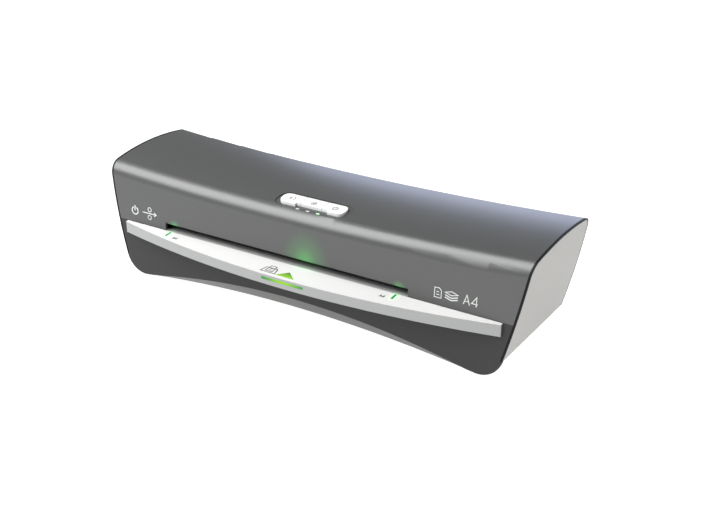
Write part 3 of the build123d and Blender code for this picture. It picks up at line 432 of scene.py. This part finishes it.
# %% Inside finishes
key_plastic = finish("key_white", (0.76, 0.76, 0.76), 0.35, 1800.0, 0.02, 0.02, 0.04)
lens_plastic = finish("lens_milky", (0.72, 0.76, 0.72), 0.3, 1800.0, 0.02, 0.03, 0.03)
guide_plastic = finish("guide_black", (0.016, 0.016, 0.017), 0.5, 1200.0, 0.08, 0.08, 0.06)
foot_rubber = finish("foot_rubber", (0.02, 0.02, 0.021), 0.75, 700.0, 0.2, 0.12, 0.08)
zinc_steel = finish("zinc_plated_steel", (0.52, 0.52, 0.50), 0.38, 500.0, 0.06, 0.12, 0.12, Metallic=1.0)
ground_steel = finish("ground_steel", (0.60, 0.60, 0.60), 0.24, 2200.0, 0.05, 0.08, 0.1, Metallic=1.0)
silicone = finish("silicone_sleeve", (0.30, 0.045, 0.025), 0.6, 1100.0, 0.12, 0.1, 0.08)
nylon = finish("gear_nylon", (0.74, 0.70, 0.58), 0.42, 900.0, 0.06, 0.06, 0.06)
bronze = finish("bush_bronze", (0.44, 0.27, 0.11), 0.42, 2400.0, 0.12, 0.15, 0.1, Metallic=1.0)
spring_wire = finish("spring_wire", (0.55, 0.55, 0.57), 0.22, 2000.0, 0.04, 0.1, 0.08, Metallic=1.0)
motor_can = finish("motor_can", (0.46, 0.47, 0.48), 0.32, 900.0, 0.05, 0.1, 0.1, Metallic=0.9)
heater_alu = finish("heater_aluminium", (0.66, 0.67, 0.68), 0.35, 1300.0, 0.08, 0.1, 0.12, Metallic=1.0)
mica = finish("mica_sheet", (0.38, 0.28, 0.13), 0.5, 260.0, 0.1, 0.3, 0.12)
steatite = finish("steatite_body", (0.72, 0.70, 0.64), 0.6, 900.0, 0.1, 0.06, 0.06)
circuit_board = finish("circuit_board", (0.015, 0.12, 0.045), 0.35, 600.0, 0.06, 0.2, 0.08, Coat_Weight=0.4)
component_black = finish("component_black", (0.02, 0.02, 0.022), 0.42, 1200.0, 0.08, 0.1, 0.06)
dress(key_plastic, "reverse_button", "heat_button", "power_button")
dress(lens_plastic, "indicator_lens")
dress(guide_plastic, "exit_slot_frame", "entry_guide_upper", "exit_guide")
dress(foot_rubber, "rubber_feet")
dress(
    zinc_steel, "casing_screws", "board_screws", "frame_screws",
    "left_side_frame", "right_side_frame", "motor_plate",
)
PAIRS = [a + b for a in ("front_", "rear_") for b in ("lower_", "upper_")]
dress(ground_steel, "frame_tie_rods", "idler_pin", *[pair + "shaft" for pair in PAIRS])
dress(silicone, *[pair + "sleeve" for pair in PAIRS])
dress(nylon, "idler_gear", "motor_pinion", *[pair + "gear" for pair in PAIRS])
dress(bronze, "lower_roller_bushes", "front_upper_bushes", "rear_upper_bushes")
dress(spring_wire, "front_pressure_springs", "rear_pressure_springs")
dress(motor_can, "drive_motor")
dress(heater_alu, "upper_heater_block", "lower_heater_block")
dress(mica, "heater_elements")
dress(steatite, "thermal_cutouts")
dress(circuit_board, "button_board", "power_board")
dress(
    component_black, "tact_switches", "power_board_components",
    "power_inlet", "rocker_switch_housing", "rocker",
)
plain_nodes = [name for name, node in nodes.items() if not node.data.materials[0].use_nodes]
print("inside dressed; nodes without a finish:", plain_nodes)

# %% [markdown]
# ### Shade inside the slot
# The tray and the guide behind the slot's lip are one piece. The guide lies in the lip's shade, and
# that shade is painted on: the guide turns a darker mid grey, so that the mouth reads as a dark line.
# It could be split off as its own piece, but a smooth step along Y in the tray's material is simpler.

# %% Painted shade on the guide
def paint_shade_behind(material, edge, width, color):
    """Painted shade: blends the base colour to color where Y passes edge, over width."""
    tree = material.node_tree
    place = add(tree, "ShaderNodeTexCoord")
    split = add(tree, "ShaderNodeSeparateXYZ")
    join(tree, place, "Object", split, "Vector")
    share = ramp(tree, edge, edge + width)
    join(tree, split, "Y", share, "Value")
    blend = add(tree, "ShaderNodeMix", data_type="RGBA")
    tree.links.new(share.outputs["Result"], blend.inputs[0])
    tree.links.new(tree.nodes["surface"].outputs["Color"], blend.inputs[6])
    blend.inputs[7].default_value = (*color, 1.0)
    tree.links.new(blend.outputs[2], tree.nodes["shader"].inputs["Base Color"])


# Painted shade: behind the lip, where the slot lies in shade, the tray's colour turns mid grey.
SHADE_START = face_y + 0.0004
SHADE_BLEND = 0.0008
paint_shade_behind(tray_plastic, SHADE_START, SHADE_BLEND, (0.30, 0.30, 0.30))
print("painted shade on guide behind y =", round(SHADE_START, 4))

# %% [markdown]
# ## Surfaces that carry the printed marks
# A printed mark follows the face under it. Each face is known as a formula, so a mark is drawn
# flat in two coordinates and then laid on the face. The housing's faces are one profile turned
# about a far-off axis above the machine, which gives the waist. The formula first turns a point
# back to mid-length, reads the profile there, and so finds the face's depth or height.

# %% Face formulas
BODY_TOP = cad_high[2]
REAR_Y = cad_high[1]
BODY_DEPTH = 0.1115
FRONT_FOOT_Y = REAR_Y - BODY_DEPTH
HALF_WIDTH = cad_high[0]
TOP_SAG = 0.006
SAG_RADIUS = (HALF_WIDTH**2 + TOP_SAG**2) / (2 * TOP_SAG)
AXIS_Z = BODY_TOP - TOP_SAG + SAG_RADIUS
DOME_RADIUS = 0.265
APEX_Y = REAR_Y - 0.047
PRINT_LIFT = 0.00006


def circle_through(a, b, c):
    """Centre and radius of the circle through three points, from the two bisector equations."""
    rows = 2 * np.array([b - a, c - a])
    sides = np.array([b @ b - a @ a, c @ c - a @ a])
    centre = np.linalg.solve(rows, sides)
    return centre, np.linalg.norm(a - centre)


FRONT_LEAN = 0.007
FRONT_BULGE = 0.0014
PROFILE_FOOT_Z = -0.014
front_top_y = FRONT_FOOT_Y + FRONT_LEAN
front_top_z = BODY_TOP - DOME_RADIUS + math.sqrt(DOME_RADIUS**2 - (front_top_y - APEX_Y) ** 2) - TOP_SAG
FACE_CENTRE, FACE_RADIUS = circle_through(
    np.array([FRONT_FOOT_Y, PROFILE_FOOT_Z]),
    np.array([(FRONT_FOOT_Y + front_top_y) / 2 - FRONT_BULGE, (front_top_z + PROFILE_FOOT_Z) / 2]),
    np.array([front_top_y, front_top_z]),
)


def on_front(u, v, lift=PRINT_LIFT):
    """Front face: x = u, z = v, and y from the face's arc at the height turned back to mid-length."""
    level = AXIS_Z - np.sqrt((AXIS_Z - v) ** 2 + u**2)
    y = FACE_CENTRE[0] - np.sqrt((FACE_RADIUS + lift) ** 2 - (level - FACE_CENTRE[1]) ** 2)
    return np.stack([u, y, v], axis=-1)


def on_dome(u, v, lift=PRINT_LIFT):
    """Top: x = u, y = v, and z from the dome's arc, turned about the far-off axis."""
    level = BODY_TOP - TOP_SAG - DOME_RADIUS + np.sqrt((DOME_RADIUS + lift) ** 2 - (v - APEX_Y) ** 2)
    z = AXIS_Z - np.sqrt((AXIS_Z - level) ** 2 - u**2)
    return np.stack([u, v, z], axis=-1)


TRAY_FALL = math.tan(math.radians(4.0))
TRAY_REAR_Y = face_y + 0.0006
TRAY_REAR_Z = 0.0493


def on_tray(u, v, lift=PRINT_LIFT):
    """Tray: x = u, y = v, and z falls forwards from the housing at a steady four degrees."""
    z = TRAY_REAR_Z + (v - TRAY_REAR_Y) * TRAY_FALL + lift
    return np.stack([u, v, z], axis=-1)


print("front face radius", round(FACE_RADIUS, 3), "m")

# %% [markdown]
# ## Printed marks
# Every mark is a set of strokes. A stroke is a ribbon: the path's points are pushed to the left
# and right by half the line's width, and the two rows make one strip of faces. Paths are short
# arrays of points, so the same ribbon draws a ring, an arrow or a page.


# %% Ribbon strokes
def arc(centre, radius, start, end, steps=24):
    """Points centre + radius (cos a, sin a) for a from start to end in degrees."""
    a = np.radians(np.linspace(start, end, steps))
    return np.stack([centre[0] + radius * np.cos(a), centre[1] + radius * np.sin(a)], axis=-1)


def ribbon(points, width, closed=False):
    """Two rows beside a path: point +- width/2 x the unit normal, mitred at the corners."""
    p = np.asarray(points, float)
    if closed:
        ahead = np.roll(p, -1, axis=0) - p
        behind = p - np.roll(p, 1, axis=0)
    else:
        steps = np.diff(p, axis=0)
        ahead = np.vstack([steps, steps[-1:]])
        behind = np.vstack([steps[:1], steps])
    ahead = ahead / np.linalg.norm(ahead, axis=1, keepdims=True)
    behind = behind / np.linalg.norm(behind, axis=1, keepdims=True)
    along = ahead + behind
    along = along / np.linalg.norm(along, axis=1, keepdims=True)
    normal = np.stack([-along[:, 1], along[:, 0]], axis=-1)
    mitre = 1 / np.clip(np.sum(along * ahead, axis=1, keepdims=True), 0.4, 1)
    return p + normal * mitre * width / 2, p - normal * mitre * width / 2


INK_THICKNESS = 0.00005


def print_marks(name, strokes, lay, material, body):
    """One flat mesh from many ribbons, laid on a face by the function lay(u, v)."""
    corners, faces, count = [], [], 0
    for points, width, closed in strokes:
        left, right = ribbon(points, width, closed)
        n = len(left)
        corners.append(np.vstack([left, right]))
        i = np.arange(n if closed else n - 1)
        j = (i + 1) % n
        faces.append(np.stack([i, i + n, j + n, j], axis=-1) + count)
        count += 2 * n
    flat = np.vstack(corners)
    verts = lay(flat[:, 0], flat[:, 1])
    mesh = bpy.data.meshes.new(name)
    mesh.from_pydata(verts.tolist(), [], np.vstack(faces).tolist())
    mesh.materials.append(material)
    piece = bpy.data.objects.new(name, mesh)
    bpy.context.scene.collection.objects.link(piece)
    skin = piece.modifiers.new("ink_thickness", "SOLIDIFY")
    skin.thickness = INK_THICKNESS
    skin.offset = 0.0
    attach(piece, body)
    print(name, len(verts), "points in", len(strokes), "strokes")


pale_ink = finish("pale_ink", (0.62, 0.63, 0.62), 0.45, 2500.0, 0.02, 0.03, 0.04)
dark_ink = finish("dark_ink", (0.03, 0.032, 0.03), 0.5, 2500.0, 0.02, 0.05, 0.04)
print("ribbon maker ready")

# %% [markdown]
# ### Marks on the front
# Left: a switch ring beside a little picture of a sheet going between two rollers. Right: a page
# with lines on it, a stack of layers and the paper size, which is only a measure.


# %% Front marks
def placed(strokes, origin, size, turn=0.0):
    """Strokes drawn in a unit square, scaled, turned and moved."""
    c, s = math.cos(math.radians(turn)), math.sin(math.radians(turn))
    spin = np.array([[c, s], [-s, c]])
    return [(np.asarray(p, float) * size @ spin + origin, w * size, k) for p, w, k in strokes]


SWITCH_RING = [
    (arc((0, 0), 0.46, 118, 422, 30), 0.15, False),
    ([(0, 0.02), (0, 0.66)], 0.15, False),
]
SIZE_MARK = [
    ([(0, 0), (0.34, 1), (0.68, 0)], 0.10, False),
    ([(0.13, 0.34), (0.55, 0.34)], 0.09, False),
    ([(1.40, 0), (1.40, 1), (0.88, 0.28), (1.56, 0.28)], 0.10, False),
]
BOLD_SIZE_MARK = [(points, 2.2 * width, closed) for points, width, closed in SIZE_MARK]
ROLLER_PAIR = [
    (arc((0, 0.56), 0.3, 0, 345, 24), 0.11, True),
    (arc((0, -0.56), 0.3, 0, 345, 24), 0.11, True),
    ([(-1.3, 0), (1.15, 0)], 0.13, False),
    ([(0.8, 0.28), (1.2, 0), (0.8, -0.28)], 0.13, False),
]
PAGE = [
    ([(0, 0), (0, 1.3), (0.66, 1.3), (0.95, 1.0), (0.95, 0)], 0.11, True),
    ([(0.24, 0.40), (0.71, 0.40)], 0.11, False),
    ([(0.24, 0.78), (0.62, 0.78)], 0.11, False),
]
LAYERS = [
    ([(0.0, 0.78), (0.75, 1.0), (1.5, 0.78), (0.75, 0.56)], 0.11, True),
    ([(0.0, 0.50), (0.75, 0.28), (1.5, 0.50)], 0.13, False),
    ([(0.0, 0.24), (0.75, 0.02), (1.5, 0.24)], 0.13, False),
]
front_left = placed(SWITCH_RING, np.array([-0.1725, 0.0600]), 0.0072)
front_left += placed(ROLLER_PAIR, np.array([-0.1560, 0.0605]), 0.0062)
print_marks("front_left_marks", front_left, on_front, pale_ink, "machine")
front_right = placed(PAGE, np.array([0.1238, 0.0556]), 0.0060)
front_right += placed(LAYERS, np.array([0.1327, 0.0558]), 0.0072)
front_right += placed(SIZE_MARK, np.array([0.1482, 0.0560]), 0.0076)
print_marks("front_right_marks", front_right, on_front, pale_ink, "machine")

# %% [markdown]
# ### Marks on the tray
# On the tray a pouch with a sheet in it sits beside the feed arrow, and each width guide has the
# paper size beside it. The paper size is small there, so its strokes are drawn wider.

# %% Tray marks
POUCH = [
    ([(0.0, 0.0), (0.15, 0.70), (1.25, 0.70), (1.4, 0.0)], 0.075, True),
    ([(0.36, 0.18), (0.42, 1.00), (0.98, 1.00), (1.04, 0.18)], 0.075, True),
    ([(0.55, 0.38), (0.85, 0.38)], 0.065, False),
    ([(0.56, 0.60), (0.84, 0.60)], 0.065, False),
]
tray_strokes = placed(POUCH, np.array([-0.0238, -0.0618]), 0.0098)
for tick_x, shift in ((left_x, 0.0080), (right_x, -0.0105)):
    tray_strokes += placed(BOLD_SIZE_MARK, np.array([tick_x + shift, -0.0526]), 0.0028)
print_marks("tray_marks", tray_strokes, on_tray, dark_ink, "machine")

# %% [markdown]
# ### Signs on the keys
# Each key has its own small sign: a loop arrow for reverse, three heat waves in a ring for heat,
# and a switch ring for power. A key's sign rides on that key, so it goes down when the key does.

# %% Key signs
LOOP_ARROW = [
    (arc((0, 0), 0.5, -60, 210, 24), 0.12, False),
    ([(-0.72, 0.0), (-0.43, -0.27), (-0.16, 0.05)], 0.12, False),
]
HEAT_SIGN = [
    (arc((0, 0), 0.5, 0, 345, 24), 0.1, True),
    ([(-0.18, -0.26), (-0.12, 0.0), (-0.18, 0.26)], 0.09, False),
    ([(0.02, -0.26), (0.08, 0.0), (0.02, 0.26)], 0.09, False),
    ([(0.22, -0.26), (0.28, 0.0), (0.22, 0.26)], 0.09, False),
]
KEY_LIFT = 0.0015 + PRINT_LIFT
KEY_SIGN_Y = -0.0198
KEY_SIGN_SIZE = 0.0046


def on_keys(u, v):
    """The keys' tops: the dome raised by the keys' height."""
    return on_dome(u, v, KEY_LIFT)


for node, sign, body in (
    ("reverse_button", LOOP_ARROW, "reverse_key"),
    ("heat_button", HEAT_SIGN, "heat_key"),
    ("power_button", SWITCH_RING, "power_key"),
):
    low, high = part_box(node)
    centre = np.array([(low[0] + high[0]) / 2, KEY_SIGN_Y])
    strokes = placed(sign, centre, KEY_SIGN_SIZE)
    print_marks(node + "_sign", strokes, on_keys, dark_ink, body)

# %% [markdown]
# ## Lit indicator
# The right-hand indicator is on. It is one of three lenses in one CAD piece, so its light is an
# emission patch round that lens, and the white key beside it picks up a little of the green.

# %% Indicator glow
lens_low, lens_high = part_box("indicator_lens")
lens_y = (lens_low[1] + lens_high[1]) / 2
HALF_LENS = 0.0016
lens_spot = (lens_high[0] - HALF_LENS, lens_y, lens_high[2])
glow_patches(lens_plastic, [(lens_spot, (0.0035, 0.003, 0.010), 2.2)], GREEN, 0.5)
glow_patches(key_plastic, [(lens_spot, (0.0085, 0.0055, 0.008), 1.0)], GREEN, 0.55)
print("lit lens at", [round(c, 4) for c in lens_spot])

# %% [markdown]
# ## Floor and light
# The ground is almost white. A floor lit only by lamps would go grey in the machine's shade, so
# this one is pale and glows by itself as well, under a weak white world. The Standard view
# transform shows those values as they are, where the default one would turn white to grey.

# %% Floor
floor_mesh = bpy.data.meshes.new("floor")
FLOOR_REACH = 40.0
FLOOR_GLOW = 0.95
WORLD_LIGHT = 0.22
floor_corners = [(x * FLOOR_REACH, y * FLOOR_REACH, 0) for x, y in ((-1, -1), (1, -1), (1, 1), (-1, 1))]
floor_mesh.from_pydata(floor_corners, [], [(0, 1, 2, 3)])
floor = bpy.data.objects.new("floor", floor_mesh)
bpy.context.scene.collection.objects.link(floor)
floor_white = finish("floor_white", (0.30, 0.30, 0.30), 0.9, 60.0, 0.0, 0.0, 0.0, Specular_IOR_Level=0.0)
floor_white.node_tree.nodes["shader"].inputs["Emission Color"].default_value = (1.0, 1.0, 1.0, 1.0)
floor_white.node_tree.nodes["shader"].inputs["Emission Strength"].default_value = FLOOR_GLOW
floor_mesh.materials.append(floor_white)
floor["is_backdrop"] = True
world = bpy.data.worlds.new("pale_world")
bpy.context.scene.world = world
world.use_nodes = True
world.node_tree.nodes["Background"].inputs["Color"].default_value = (1.0, 1.0, 1.0, 1.0)
world.node_tree.nodes["Background"].inputs["Strength"].default_value = WORLD_LIGHT
bpy.context.scene.view_settings.view_transform = "Standard"
print("floor and world ready")

# %% [markdown]
# ## Studio lamps
# Three soft area lamps give the object its shape. The biggest hangs high at the front left and
# makes the highlight along the rounded front edge. A bluish one stands upright far behind, and
# shows as the cool band along the rear of the top. A small warm one at the right lights the end
# panel. An area lamp shines along its own -Z, so each is turned until that axis meets its aim.


# %% Studio lamps
def soft_lamp(name, place, aim, width, height, power, color=(1.0, 1.0, 1.0)):
    """A rectangular area lamp at place that shines towards aim."""
    data = bpy.data.lights.new(name, "AREA")
    data.shape = "RECTANGLE"
    data.size = width
    data.size_y = height
    data.energy = power
    data.color = color
    lamp_object = bpy.data.objects.new(name, data)
    bpy.context.scene.collection.objects.link(lamp_object)
    lamp_object.location = place
    direction = np.array(aim) - np.array(place)
    distance = np.linalg.norm(direction)
    tilt = math.acos(-direction[2] / distance)
    heading = math.atan2(direction[1], direction[0]) - math.pi / 2
    lamp_object.rotation_euler = (tilt, 0.0, heading)


soft_lamp("key_soft", (-0.58, -0.46, 1.05), (0.0, -0.04, 0.09), 1.05, 1.35, 31.0)
soft_lamp("rear_band", (-0.65, 2.0, 0.42), (-0.65, 0.0, 0.42), 1.4, 0.66, 8.5, (0.66, 0.74, 1.0))
soft_lamp("right_soft", (0.62, -0.30, 0.42), (0.19, 0.0, 0.06), 0.25, 0.25, 0.8, (1.0, 0.97, 0.93))
print("studio lit")

# %% [markdown]
# ## Sizes and finish
# The view layer is brought up to date at the end. Blender may change the finish but not the size.

# %% Sizes and finish
bpy.context.view_layer.update()
